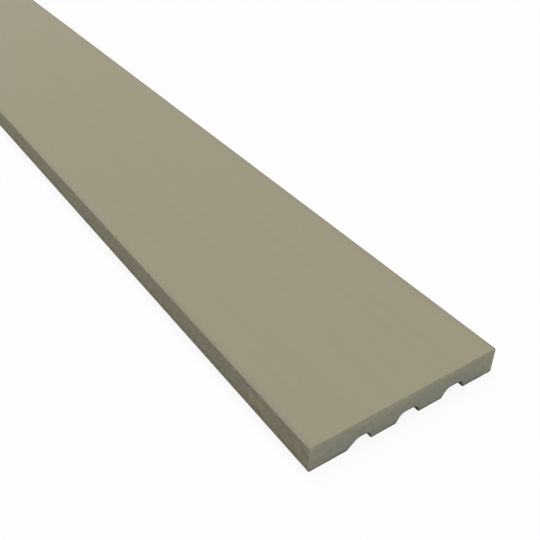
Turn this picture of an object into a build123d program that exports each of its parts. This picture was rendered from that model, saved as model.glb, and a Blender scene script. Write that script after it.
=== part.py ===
"""Fibre cement trim board: smooth face up, three arched relief grooves along its back.

The board runs along X and lies on its back. The origin is under the middle of the
board, on the plane of the back lands, with +Z up through the finished face.
"""

import os
from math import atan2, tan

from build123d import *

# Board, millimetres: stock sold as three quarters by five and a half inches, twelve feet long
board_length = 3657.6
board_width = 139.7
board_thickness = 19.05
face_arris_radius = 0.8
back_arris_radius = 1.2

# Relief grooves along the back, each with a sloping front flank and a nearly upright rear one
groove_width = 17.2
groove_depth = 6.2
groove_pitch = 35.8
groove_offset = 1.2
sloping_run = 3.5
upright_run = 0.6
laid_back_run = 7.5
shoulder_radius = 5.4
mouth_radius = 0.6

# Solid margins that the grooves leave: for nails beside each long edge, and along a crown
least_edge_land = 22.0
least_crown_flat = 0.5

# As many grooves as the width takes, set a little towards the rear edge
groove_count = 1 + int((board_width - 2 * least_edge_land - groove_width) // groove_pitch)
first_groove = groove_offset - (groove_count - 1) * groove_pitch / 2
groove_places = [(first_groove + number * groove_pitch, 0) for number in range(groove_count)]


def groove_outline(front_run):
    """Arched outline of one groove, standing on the back face and centred on the origin.

    A run is how far a flank leans in on its way from the mouth up to the crown.
    The shoulders stop short of meeting along the crown and of reaching down to the mouth.
    """
    half_width = groove_width / 2
    runs = (front_run, upright_run)
    crown_room = groove_width - sum(runs) - least_crown_flat
    tangents = sum(tan(atan2(groove_depth, run) / 2) for run in runs)
    widest_radius = min(crown_room / tangents, groove_depth - mouth_radius)
    with BuildSketch() as outline:
        with BuildLine():
            Polyline(
                (-half_width, 0),
                (-half_width + front_run, groove_depth),
                (half_width - upright_run, groove_depth),
                (half_width, 0),
                close=True,
            )
        make_face()
        crown_corners = outline.vertices().group_by(Axis.Y)[-1]
        fillet(crown_corners, min(shoulder_radius, widest_radius))
    return outline.sketch


# The groove beside the front edge has its front flank laid back further than the others
edge_groove = groove_outline(laid_back_run)
inner_groove = groove_outline(sloping_run)

with BuildPart() as trim_board:
    with BuildSketch(Plane.YZ) as section:
        Rectangle(board_width, board_thickness, align=(Align.CENTER, Align.MIN))
        with Locations(*groove_places[:1]):
            add(edge_groove, mode=Mode.SUBTRACT)
        with Locations(*groove_places[1:]):
            add(inner_groove, mode=Mode.SUBTRACT)
        fillet(section.vertices().group_by(Axis.Y)[-1], face_arris_radius)
        mouth_corners = section.vertices().group_by(Axis.Y)[0].sort_by(Axis.X)[1:-1]
        fillet(mouth_corners, mouth_radius)
        back_row = section.vertices().group_by(Axis.Y)[0].sort_by(Axis.X)
        fillet([back_row[0], back_row[-1]], back_arris_radius)
    extrude(amount=board_length / 2, both=True)

trim_board.part.label = "trim_board"
os.makedirs("parts", exist_ok=True)
export_step(trim_board.part, "parts/trim_board.step")
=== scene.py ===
"""Looks of the fibre cement trim board: factory paint on face and edges, raw board at cuts and back.

It lies face up on a pale studio floor. Metres throughout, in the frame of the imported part.
"""

import cmath
from math import radians, sin, tan
from typing import NamedTuple

import bpy
import numpy as np
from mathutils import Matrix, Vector, noise


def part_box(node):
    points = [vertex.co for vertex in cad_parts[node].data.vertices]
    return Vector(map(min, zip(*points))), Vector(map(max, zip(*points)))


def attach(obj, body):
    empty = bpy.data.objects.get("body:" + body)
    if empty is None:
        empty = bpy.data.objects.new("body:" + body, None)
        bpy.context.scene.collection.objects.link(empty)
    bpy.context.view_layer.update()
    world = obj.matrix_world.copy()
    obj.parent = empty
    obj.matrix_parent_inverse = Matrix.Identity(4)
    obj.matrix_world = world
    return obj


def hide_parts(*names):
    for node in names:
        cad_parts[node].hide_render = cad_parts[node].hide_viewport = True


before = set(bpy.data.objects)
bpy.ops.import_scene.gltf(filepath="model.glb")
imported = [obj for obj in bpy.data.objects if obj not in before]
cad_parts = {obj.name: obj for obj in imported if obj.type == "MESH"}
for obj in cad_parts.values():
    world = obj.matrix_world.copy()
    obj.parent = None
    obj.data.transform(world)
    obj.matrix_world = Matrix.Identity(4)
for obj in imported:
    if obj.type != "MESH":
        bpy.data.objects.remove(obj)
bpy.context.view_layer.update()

MM = 0.001


class Marks(NamedTuple):
    """One kind of mark on a surface: its size and shape, and how far it shades and raises it."""

    size: float
    stretch: tuple = (1, 1, 1)
    detail: float = 3.0
    shade: float = 0.0
    height: float = 0.0


class Pits(NamedTuple):
    """Pinholes scattered over a surface, with painted shade inside."""

    spacing: float
    radius: float
    shade: float
    depth: float
    rim_detail: float = 2.0


class Face(NamedTuple):
    """One face of the mesh: its points' numbers, its finish, and its corners' places on the map."""

    corners: tuple
    finish: str
    spots: list


# Section of the board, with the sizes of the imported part
low_corner, high_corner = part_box("trim_board")
board_length, board_width, board_thickness = high_corner - low_corner
half_length = board_length / 2
half_width = board_width / 2
face_arris_radius = 0.8 * MM
back_arris_radius = 1.2 * MM
groove_width = 17.2 * MM
groove_depth = 6.2 * MM
groove_pitch = 35.8 * MM
groove_offset = 1.2 * MM
sloping_run = 3.5 * MM
upright_run = 0.6 * MM
laid_back_run = 7.5 * MM
shoulder_radius = 5.4 * MM
mouth_radius = 0.6 * MM
front_runs = (laid_back_run, sloping_run, sloping_run)

# Mesh: steps round an arc and across the section, rows up an end, stations along the board
arc_steps = 8
longest_step = 2.5 * MM
end_rows = 24
station_gap = 40 * MM
closing_stations = 6
sharp_angle = radians(35)
groove_rise = mouth_radius / 4  # a point of the back that lies higher is in a groove

# Cut ends: arrises broken at the back and worn at the face, and relief from the blade
broken_arris = 0.35 * MM
worn_arris = 0.60 * MM
arris_spread = 0.15 * MM
chip_size = 6 * MM
cut_relief = 0.12 * MM
layer_share = 0.6
layer_height = 0.8 * MM
layer_length = 5 * MM
swell_length = 15 * MM
rim_fade = (1.0, 0.5, 0.15)  # how much painted shade the lowest rows of points carry, by the floor

# Map for baked pictures, one unit square: the sides unrolled in lanes, the cut ends in a row above
map_name = "OFBake"  # the name of the map for baking
map_gap = 0.004
map_lanes = 3
end_row = 0.072
map_share = {"face": 1.0, "edge": 2.0, "back": 0.7, "groove": 0.7}  # how wide each is drawn
lane_length = board_length / map_lanes
lane_height = (1 - end_row) / map_lanes

# Colours, linear
khaki_paint = (0.335, 0.305, 0.218, 1)
# painted shade for the face's long arrises, where the edge turns away from the light
painted_arris_shade = (0.310, 0.288, 0.212, 1)
warm_paint = (0.345, 0.304, 0.218, 1)
cool_paint = (0.325, 0.306, 0.218, 1)
drifted_paint = (0.345, 0.321, 0.235, 1)
raw_cement = (0.280, 0.280, 0.219, 1)
pale_fibre = (0.400, 0.390, 0.320, 1)
# painted shade along the bottom rim of each cut end, where it meets the floor
painted_rim_shade = (0.120, 0.120, 0.100, 1)
back_cement = (0.250, 0.247, 0.200, 1)
# painted shade: the grooves' lining is darkened to stand in for the shade inside them
painted_shade_groove = (0.120, 0.119, 0.098, 1)
white = (1, 1, 1, 1)

# Sheen: specular levels, and the range of roughness over each finish
paint_gloss = 0.05
cement_gloss = 0.15
face_roughness = (0.50, 0.60)
edge_roughness = (0.58, 0.70)
cut_roughness = (0.80, 0.92)
back_roughness = (0.82, 0.94)

# Painted face: the roller's faint streaks, orange peel, fine grain, and painted shade by the long
# arrises
roller_streaks = Marks(6 * MM, stretch=(40, 1, 1), shade=0.012, height=0.02 * MM)
orange_peel = Marks(1.4 * MM, detail=2.0, height=0.05 * MM)
paint_grain = Marks(0.4 * MM, shade=0.03, height=0.01 * MM)
arris_shade_start = half_width - 4 * MM
arris_shade_line = half_width - 1.5 * MM

# Painted long edges: warm and cool patches, and mottle, specks, grain and pinholes in the paint
edge_patches = Marks(11 * MM, stretch=(2, 1, 1))
edge_mottle = Marks(3.5 * MM, stretch=(2, 1, 1), detail=4.0, shade=0.16, height=0.12 * MM)
edge_specks = Marks(1.6 * MM, stretch=(1.5, 1, 1), shade=0.16)
edge_grain = Marks(0.45 * MM, stretch=(3, 1, 1), shade=0.12, height=0.06 * MM)
edge_pits = Pits(spacing=2.6 * MM, radius=0.30 * MM, shade=0.15, depth=0.08 * MM)

# Saw cut: pressed layers, pale fibres, clouds, specks, saw marks, grain and pinholes
cut_layers = Marks(0.7 * MM, stretch=(1, 30, 1), shade=0.05, height=0.04 * MM)
cut_fibres = Marks(0.14 * MM, stretch=(1, 18, 1), detail=1.0)
fibre_threshold = 0.7
fibre_strength = 0.5
cut_cloud = Marks(4 * MM, stretch=(1, 2, 1), shade=0.04)
cut_specks = Marks(1.5 * MM, stretch=(1, 1.5, 1), shade=0.07)
saw_marks = Marks(0.5 * MM, stretch=(1, 1, 25), detail=2.0, height=0.05 * MM)
cut_grain = Marks(0.35 * MM, shade=0.12, height=0.06 * MM)
cut_pits = Pits(spacing=1.8 * MM, radius=0.30 * MM, shade=0.25, depth=0.08 * MM)

# Paint that has drifted from the face and the long edges onto a cut end: how much, and how far
face_drift = 1.0
face_drift_start = 1.0 * MM
face_drift_reach = 7.2 * MM
edge_drift = 0.6
edge_drift_reach = 14 * MM
drift_spread = 1.0 * MM

# Bare back: clouds, marks of the felt and pinholes, and in its grooves the cutter's lines and grain
back_cloud = Marks(25 * MM, stretch=(3, 1, 1), detail=4.0, shade=0.08)
back_felt = Marks(0.9 * MM, detail=2.0, shade=0.08, height=0.10 * MM)
back_pits = Pits(spacing=2.6 * MM, radius=0.35 * MM, shade=0.20, depth=0.08 * MM)
cutter_lines = Marks(0.6 * MM, stretch=(60, 1, 1), detail=2.0, shade=0.2, height=0.05 * MM)
groove_grain = Marks(0.4 * MM, shade=0.12, height=0.05 * MM)

# Nodes: the range that noise mostly keeps to, and the numbers of a Mix node's colour sockets
noise_low = 0.3
noise_high = 0.7
first_colour = 6
second_colour = 7
mixed_colour = 2

# Camera: place from the face's near front corner in board widths, angles, and lens in frame widths
camera_ahead = 1.4994
camera_aside = 1.191
camera_above = 2.2773
camera_pitch = radians(38.90)
camera_yaw = radians(34.05)
focal_length = 1.4396
lens_shift = 0.05

# Studio
floor_reach = 60.0
floor_gap = 0.1 * MM
floor_colour = (0.88, 0.88, 0.88, 1)
floor_whiteness = 0.90
fade_start = 2.5
fade_end = 8.0
softbox_length = 8.5
softbox_width = 1.2
softbox_height = 2.5
softbox_place = (1.35, 0.28)
softbox_power = 131.0
sky_strength = 0.10


def unit(vector):
    """A complex number turned into a direction."""
    return vector / abs(vector)


def rounded_line(corners):
    """Points along straight runs through corners, each (y, z, radius), the inner ones turned as arcs.

    A point of the section is a complex number, y + zj. The first and last corners only give the
    line's directions.
    """
    points = []
    places = [complex(y, z) for y, z, _ in corners]
    radii = [radius for _, _, radius in corners]
    for before, corner, after, radius in zip(places, places[1:], places[2:], radii[1:]):
        back = unit(before - corner)
        ahead = unit(after - corner)
        half_angle = abs(cmath.phase(ahead / back)) / 2
        tangent = radius / tan(half_angle)
        centre = corner + unit(back + ahead) * radius / sin(half_angle)
        spoke = corner + back * tangent - centre
        sweep = cmath.phase((corner + ahead * tangent - centre) / spoke)
        for step in range(arc_steps + 1):
            points.append(centre + spoke * cmath.exp(1j * sweep * step / arc_steps))
    return points


def divided(points):
    """The same line with its long runs cut into even steps."""
    line = []
    for start, end in zip(points, points[1:]):
        pieces = int(abs(end - start) // longest_step) + 1
        line += [start + (end - start) * piece / pieces for piece in range(pieces)]
    return np.array(line + points[-1:])


def back_line():
    """The back of the section, from the front edge over lands and grooves to the rear edge."""
    middle = board_thickness / 2
    corners = [(-half_width, middle, 0), (-half_width, 0, back_arris_radius)]
    for number, run in enumerate(front_runs):
        centre = groove_offset + (number - 1) * groove_pitch
        front = centre - groove_width / 2
        rear = centre + groove_width / 2
        corners.append((front, 0, mouth_radius))
        corners.append((front + run, groove_depth, shoulder_radius))
        corners.append((rear - upright_run, groove_depth, shoulder_radius))
        corners.append((rear, 0, mouth_radius))
    corners += [(half_width, 0, back_arris_radius), (half_width, middle, 0)]
    return divided(rounded_line(corners))


def face_line():
    """The face of the section, from the front edge to the rear edge."""
    middle = board_thickness / 2
    corners = [(-half_width, middle, 0), (-half_width, board_thickness, face_arris_radius)]
    corners += [(half_width, board_thickness, face_arris_radius), (half_width, middle, 0)]
    return divided(rounded_line(corners))


def ruled(back, face):
    """Rows of section points from a back line straight up to a face line."""
    share = np.linspace(0, 1, end_rows)[:, None]
    face_z = np.interp(back.real, face.real, face.imag)
    return back + 1j * (face_z - back.imag) * share


def rim_of(rows, columns):
    """Places (row, column) round a grid: along the back, up the rear, back along the face, down."""
    back = [(0, column) for column in range(columns)]
    rear = [(row, columns - 1) for row in range(1, rows)]
    face = [(rows - 1, column) for column in range(columns - 2, -1, -1)]
    front = [(row, 0) for row in range(rows - 2, 0, -1)]
    return back + rear + face + front


def strip_finishes(back, rows):
    """The finish of each strip round the section, in the order of its rim."""
    milled = (back.imag > groove_rise) & (abs(back.real) < half_width - back_arris_radius)
    lower = ["groove" if either else "back" for either in milled[:-1] | milled[1:]]
    edge = ["edge"] * (rows - 1)
    return lower + edge + ["face"] * len(lower) + edge


def stations():
    """Places along the board, closer together towards each end."""
    runs = int(board_length // station_gap)
    even = np.linspace(station_gap - half_length, half_length - station_gap, runs - 1)
    closing = [half_length - station_gap / 2**step for step in range(1, closing_stations + 1)]
    closing = np.array(closing + [half_length - broken_arris])
    return np.concatenate([-closing[::-1], even, closing])


def drawn_in(line, amount, turn, side):
    """A line moved sideways into the section by about one amount, still running from front to rear.

    The amount also tells the chips along one arris from those along another.
    """
    along = np.gradient(line)
    places = [Vector((point.real / chip_size, amount / MM, side)) for point in line]
    chips = np.array([noise.noise(place) for place in places])
    moved = line + turn * along / abs(along) * (amount + arris_spread * chips)
    return np.maximum.accumulate(moved.real) + 1j * moved.imag


def cut_depth(spot, side):
    """How far one point of a cut end lies in from the board's full length."""
    layers = noise.noise(Vector((spot.real / layer_length, spot.imag / layer_height, side)))
    swell = noise.noise(Vector((spot.real / swell_length, spot.imag / layer_length, side)))
    return cut_relief * (1 + layer_share * layers + (1 - layer_share) * swell) / 2


def end_points(side):
    """Points over one cut end, row by row from the back up, drawn in at its arrises."""
    back = drawn_in(back_line(), broken_arris, 1j, side)
    face = drawn_in(face_line(), worn_arris, -1j, side)
    spots = ruled(back, face).flat
    return [(side * (half_length - cut_depth(spot, side)), spot.real, spot.imag) for spot in spots]


def end_faces(start, columns, side):
    """The corners of each face of a cut end, whose grid of points begins at one number."""
    for row in range(end_rows - 1):
        first = start + row * columns
        for here in range(first, first + columns - 1):
            yield (here, here + 1, here + columns + 1, here + columns)[::side]


def faces_between(ring, following):
    """The corners of each face that joins two rings of points."""
    return zip(ring, ring[1:] + ring[:1], following[1:] + following[:1], following)


def map_bands(outline, strips):
    """How far round the map each strip of the section begins and ends, from 0 to 1."""
    widths = abs(np.diff(outline, append=outline[:1])) * [map_share[finish] for finish in strips]
    girth = np.concatenate([[0], np.cumsum(widths)]) / sum(widths)
    return list(zip(girth, girth[1:]))


def on_side(run, band):
    """Where the corners of a side's face lie on the map, from its run along the board and its band.

    A face lies in the lane of its middle, so a lane takes half a station gap more at each end.
    """
    lane = int((sum(run) / 2 + half_length) / lane_length)
    lane_start = lane * lane_length - half_length - station_gap / 2
    along = (np.array(run) - lane_start) / (lane_length + station_gap)
    left, right = map_gap + (1 - 2 * map_gap) * along
    top, bottom = lane * lane_height + map_gap + (lane_height - 2 * map_gap) * (1 - np.array(band))
    return [(left, top), (left, bottom), (right, bottom), (right, top)]


def on_end(side, point):
    """Where a point of a cut end lies on the map: each end has one half of the row."""
    _, y, z = point
    middle = (2 + side) / 4
    reach = 1 / 4 - map_gap
    up = z / board_thickness
    return middle + side * reach * y / half_width, 1 - end_row + (end_row - map_gap) * up


def board_mesh():
    """The board as a sweep of its section, closed by a fine grid at each cut end.

    Gives the points, the faces, and how much painted shade each point carries along the bottom of a
    cut end.
    """
    back = back_line()
    section = ruled(back, face_line())
    rows, columns = section.shape
    rim = rim_of(rows, columns)
    outline = np.array([section[spot] for spot in rim])
    strips = strip_finishes(back, rows)
    bands = map_bands(outline, strips)
    places = stations()
    points = [(place, spot.real, spot.imag) for place in places for spot in outline]
    rings = [list(range(start, start + len(rim))) for start in range(0, len(points), len(rim))]
    bottom_shade = [0.0] * len(points)
    row_bottom_shade = rim_fade + (0.0,) * (rows - len(rim_fade))
    faces = []
    for ring, following, run in zip(rings, rings[1:], zip(places, places[1:])):
        for corners, finish, band in zip(faces_between(ring, following), strips, bands):
            faces.append(Face(corners, finish, on_side(run, band)))
    for side, ring in ((-1, rings[0]), (1, rings[-1])):
        start = len(points)
        points += end_points(side)
        bottom_shade += list(np.repeat(row_bottom_shade, columns))
        closing = [start + row * columns + column for row, column in rim]
        eased = faces_between(closing, ring) if side < 0 else faces_between(ring, closing)
        covers = list(zip(eased, ["groove" if strip == "groove" else "cut" for strip in strips]))
        covers += [(corners, "cut") for corners in end_faces(start, columns, side)]
        for corners, finish in covers:
            spots = [on_end(side, points[corner]) for corner in corners]
            faces.append(Face(corners, finish, spots))
    return points, faces, bottom_shade


def add_node(tree, kind, inputs=None, **settings):
    """A new node with its settings, and its inputs set or linked by name or number."""
    made = tree.nodes.new(kind)
    for name, value in settings.items():
        setattr(made, name, value)
    for name, value in (inputs or {}).items():
        if isinstance(value, bpy.types.NodeSocket):
            tree.links.new(value, made.inputs[name])
        else:
            made.inputs[name].default_value = value
    return made


def new_material(name):
    """An empty node material and its tree."""
    material = bpy.data.materials.new(name)
    material.use_nodes = True
    material.node_tree.nodes.clear()
    return material, material.node_tree


def place_on(tree):
    """The place of a point in its object's own frame."""
    return add_node(tree, "ShaderNodeTexCoord").outputs["Object"]


def axes_on(tree):
    """The same place as its three coordinates."""
    return add_node(tree, "ShaderNodeSeparateXYZ", {"Vector": place_on(tree)}).outputs


def calculated(tree, operation, *values):
    """The result of one calculation."""
    inputs = dict(enumerate(values))
    return add_node(tree, "ShaderNodeMath", inputs, operation=operation).outputs["Value"]


def ramp(tree, value, low, high, first, second):
    """A value carried from one range to another, and held at the ends."""
    inputs = {"Value": value, "From Min": low, "From Max": high, "To Min": first, "To Max": second}
    return add_node(tree, "ShaderNodeMapRange", inputs).outputs["Result"]


def speckle(tree, marks):
    """The pattern of one kind of mark, from 0 to 1, drawn out along the board's axes."""
    scale = [1 / (marks.size * longer) for longer in marks.stretch]
    mapped = add_node(tree, "ShaderNodeMapping", {"Vector": place_on(tree), "Scale": scale})
    inputs = {"Vector": mapped.outputs["Vector"], "Scale": 1.0, "Detail": marks.detail}
    noisy = add_node(tree, "ShaderNodeTexNoise", inputs).outputs["Fac"]
    return ramp(tree, noisy, noise_low, noise_high, 0, 1)


def pinholes(tree, pits):
    """Scattered holes with uneven rims: 1 in a hole, and 0 between the holes."""
    inputs = {"Vector": place_on(tree), "Scale": 1 / pits.spacing}
    gap = add_node(tree, "ShaderNodeTexVoronoi", inputs).outputs["Distance"]
    reach = pits.radius / pits.spacing
    wander = speckle(tree, Marks(pits.radius, detail=pits.rim_detail))
    uneven = ramp(tree, wander, 0, 1, -reach / 2, reach)
    return ramp(tree, calculated(tree, "ADD", gap, uneven), reach / 2, reach, 1, 0)


class Finish:
    """A material in the making: its nodes, its colour so far and its surface normal so far."""

    def __init__(self, name, colour):
        self.material, self.tree = new_material(name)
        self.colour = colour
        self.normal = add_node(self.tree, "ShaderNodeNewGeometry").outputs["Normal"]

    def mix(self, factor, colour, blend_type):
        """Mixes another colour, or a level, into the colour."""
        inputs = {"Factor": factor, first_colour: self.colour, second_colour: colour}
        mixed = add_node(self.tree, "ShaderNodeMix", inputs, data_type="RGBA", blend_type=blend_type)
        self.colour = mixed.outputs[mixed_colour]

    def blend(self, factor, colour):
        """Turns the colour into another where a factor is high."""
        self.mix(factor, colour, "MIX")

    def shade(self, pattern, darkest, lightest):
        """Multiplies the colour by a level that follows a pattern."""
        self.mix(1.0, ramp(self.tree, pattern, 0, 1, darkest, lightest), "MULTIPLY")

    def lift(self, pattern, height):
        """Raises the surface where a pattern is high."""
        inputs = {"Height": pattern, "Distance": height, "Strength": 1.0, "Normal": self.normal}
        self.normal = add_node(self.tree, "ShaderNodeBump", inputs).outputs["Normal"]

    def mark(self, marks, pattern=None):
        """Shades and raises the surface with one kind of mark, and gives the mark's pattern."""
        if pattern is None:
            pattern = speckle(self.tree, marks)
        if marks.shade:
            self.shade(pattern, 1 - marks.shade, 1 + marks.shade)
        if marks.height:
            self.lift(pattern, marks.height)
        return pattern

    def pit(self, pits):
        """Sinks pinholes into the surface, with painted shade inside them."""
        holes = pinholes(self.tree, pits)
        self.shade(holes, 1, 1 - pits.shade)
        self.lift(holes, -pits.depth)

    def done(self, pattern, roughness, gloss):
        """The finished material, with a roughness that follows a pattern."""
        rough = ramp(self.tree, pattern, 0, 1, *roughness)
        inputs = {"Base Color": self.colour, "Roughness": rough, "Normal": self.normal}
        inputs["Specular IOR Level"] = gloss
        shader = add_node(self.tree, "ShaderNodeBsdfPrincipled", inputs)
        add_node(self.tree, "ShaderNodeOutputMaterial", {"Surface": shader.outputs["BSDF"]})
        return self.material


def face_paint():
    """Smooth low-sheen factory paint, darkened along the long arrises as painted shade."""
    finish = Finish("face_paint", khaki_paint)
    across = calculated(finish.tree, "ABSOLUTE", axes_on(finish.tree)["Y"])
    # painted shade along the long arrises
    finish.blend(ramp(finish.tree, across, arris_shade_start, arris_shade_line, 0, 1), painted_arris_shade)
    finish.mark(roller_streaks)
    peel = finish.mark(orange_peel)
    finish.mark(paint_grain)
    return finish.done(peel, face_roughness, paint_gloss)


def edge_paint():
    """The same paint over the rougher long edges, where it has sunk in unevenly and pinholes show."""
    finish = Finish("edge_paint", warm_paint)
    finish.blend(speckle(finish.tree, edge_patches), cool_paint)
    mottle = finish.mark(edge_mottle)
    finish.mark(edge_specks)
    finish.mark(edge_grain)
    finish.pit(edge_pits)
    return finish.done(mottle, edge_roughness, paint_gloss)


def paint_drift(tree, pattern):
    """How much paint has drifted onto a cut end: most beside the face, some beside the long edges."""
    axes = axes_on(tree)
    spread = ramp(tree, pattern, 0, 1, -drift_spread, drift_spread)
    height = calculated(tree, "ADD", axes["Z"], spread)
    across = calculated(tree, "ABSOLUTE", axes["Y"])
    top = board_thickness - face_drift_start
    from_face = ramp(tree, height, board_thickness - face_drift_reach, top, 0, face_drift)
    from_edge = ramp(tree, across, half_width - edge_drift_reach, half_width, 0, edge_drift)
    return calculated(tree, "MAXIMUM", from_face, from_edge)


def cut_cement():
    """Raw board at a saw cut, under drifted paint, with painted shade along its bottom rim by the
    floor.
    """
    finish = Finish("cut_cement", raw_cement)
    tree = finish.tree
    finish.mark(cut_layers)
    fibres = speckle(tree, cut_fibres)
    finish.blend(ramp(tree, fibres, fibre_threshold, 1, 0, fibre_strength), pale_fibre)
    cloud = speckle(tree, cut_cloud)
    finish.blend(paint_drift(tree, cloud), drifted_paint)
    finish.mark(cut_cloud, cloud)
    finish.mark(cut_specks)
    finish.mark(saw_marks)
    grain = finish.mark(cut_grain)
    finish.pit(cut_pits)
    # painted shade along the bottom rows of the cut end
    rim = add_node(tree, "ShaderNodeAttribute", attribute_name="bottom_shade").outputs["Fac"]
    finish.blend(rim, painted_rim_shade)
    return finish.done(grain, cut_roughness, cement_gloss)


def felted_back():
    """Unpainted back, marked by the felt that it was formed on."""
    finish = Finish("back_cement", back_cement)
    finish.mark(back_felt)
    cloud = finish.mark(back_cloud)
    finish.pit(back_pits)
    return finish.done(cloud, back_roughness, cement_gloss)


def milled_groove():
    """Grooves with the cutter's lines along them, coloured darker than the back as painted shade."""
    finish = Finish("painted_shade_groove", painted_shade_groove)
    finish.mark(cutter_lines)
    cloud = finish.mark(back_cloud)
    finish.mark(groove_grain)
    return finish.done(cloud, back_roughness, cement_gloss)


def build_board():
    """The dressed board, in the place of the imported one."""
    points, faces, bottom_shade = board_mesh()
    mesh = bpy.data.meshes.new("painted_trim_board")
    mesh.from_pydata(points, [], [face.corners for face in faces])
    materials = {"face": face_paint(), "edge": edge_paint(), "cut": cut_cement()}
    materials |= {"back": felted_back(), "groove": milled_groove()}
    for material in materials.values():
        mesh.materials.append(material)
    order = list(materials)
    mesh.polygons.foreach_set("material_index", [order.index(face.finish) for face in faces])
    mesh.attributes.new("bottom_shade", "FLOAT", "POINT").data.foreach_set("value", bottom_shade)
    spots = np.ravel([face.spots for face in faces])
    mesh.uv_layers.new(name=map_name).uv.foreach_set("vector", spots)
    mesh.shade_smooth()
    mesh.set_sharp_from_angle(angle=sharp_angle)
    mesh.update()
    board = bpy.data.objects.new("painted_trim_board", mesh)
    bpy.context.scene.collection.objects.link(board)
    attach(board, "root")
    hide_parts("trim_board")


def shown_to_eye(tree):
    """1 on rays straight from the camera, a mirror or glass, and 0 on light that bounces about."""
    path = add_node(tree, "ShaderNodeLightPath").outputs
    direct = calculated(tree, "MAXIMUM", path["Is Camera Ray"], path["Is Glossy Ray"])
    return calculated(tree, "MAXIMUM", direct, path["Is Transmission Ray"])


def pale_floor():
    """A matte floor that keeps a soft trace of a shadow, and fades to white away from the board."""
    material, tree = new_material("pale_floor")
    matte = add_node(tree, "ShaderNodeBsdfDiffuse", {"Color": floor_colour})
    glow = add_node(tree, "ShaderNodeEmission", {"Strength": 1.0})
    from_middle = add_node(tree, "ShaderNodeVectorMath", {0: place_on(tree)}, operation="LENGTH")
    away = from_middle.outputs["Value"]
    whiteness = ramp(tree, away, fade_start, fade_end, floor_whiteness, 1)
    share = calculated(tree, "MULTIPLY", shown_to_eye(tree), whiteness)
    inputs = {0: share, 1: matte.outputs["BSDF"], 2: glow.outputs["Emission"]}
    mixed = add_node(tree, "ShaderNodeMixShader", inputs)
    add_node(tree, "ShaderNodeOutputMaterial", {"Surface": mixed.outputs["Shader"]})
    return material


def build_floor():
    """The floor, a hair below the board's back."""
    mesh = bpy.data.meshes.new("floor")
    signs = [(-1, -1), (1, -1), (1, 1), (-1, 1)]
    corners = [(x * floor_reach, y * floor_reach, -floor_gap) for x, y in signs]
    mesh.from_pydata(corners, [], [(0, 1, 2, 3)])
    mesh.materials.append(pale_floor())
    floor = bpy.data.objects.new("floor", mesh)
    bpy.context.scene.collection.objects.link(floor)


def build_light():
    """One long softbox overhead, and a weak sky that shows white behind the floor."""
    lamp = bpy.data.lights.new("softbox", "AREA")
    lamp.shape = "RECTANGLE"
    lamp.size = softbox_length
    lamp.size_y = softbox_width
    lamp.energy = softbox_power
    softbox = bpy.data.objects.new("softbox", lamp)
    softbox.location = (*softbox_place, softbox_height)
    bpy.context.scene.collection.objects.link(softbox)
    world = bpy.data.worlds.new("studio")
    world.use_nodes = True
    tree = world.node_tree
    tree.nodes.clear()
    strength = ramp(tree, shown_to_eye(tree), 0, 1, sky_strength, 1)
    sky = add_node(tree, "ShaderNodeBackground", {"Color": white, "Strength": strength})
    add_node(tree, "ShaderNodeOutputWorld", {"Surface": sky.outputs["Background"]})
    bpy.context.scene.world = world


def build_camera():
    """The camera, standing where the photo was taken from."""
    lens = bpy.data.cameras.new("camera")
    lens.lens = lens.sensor_width * focal_length
    lens.shift_y = lens_shift
    camera = bpy.data.objects.new("camera", lens)
    near_corner = Vector((high_corner.x, low_corner.y, high_corner.z))
    camera.location = near_corner + board_width * Vector((camera_ahead, -camera_aside, camera_above))
    camera.rotation_euler = (radians(90) - camera_pitch, 0, radians(90) - camera_yaw)
    bpy.context.scene.collection.objects.link(camera)
    bpy.context.scene.camera = camera


build_board()
build_floor()
build_light()
build_camera()
bpy.context.scene.view_settings.view_transform = "Standard"

bpy.context.view_layer.update()
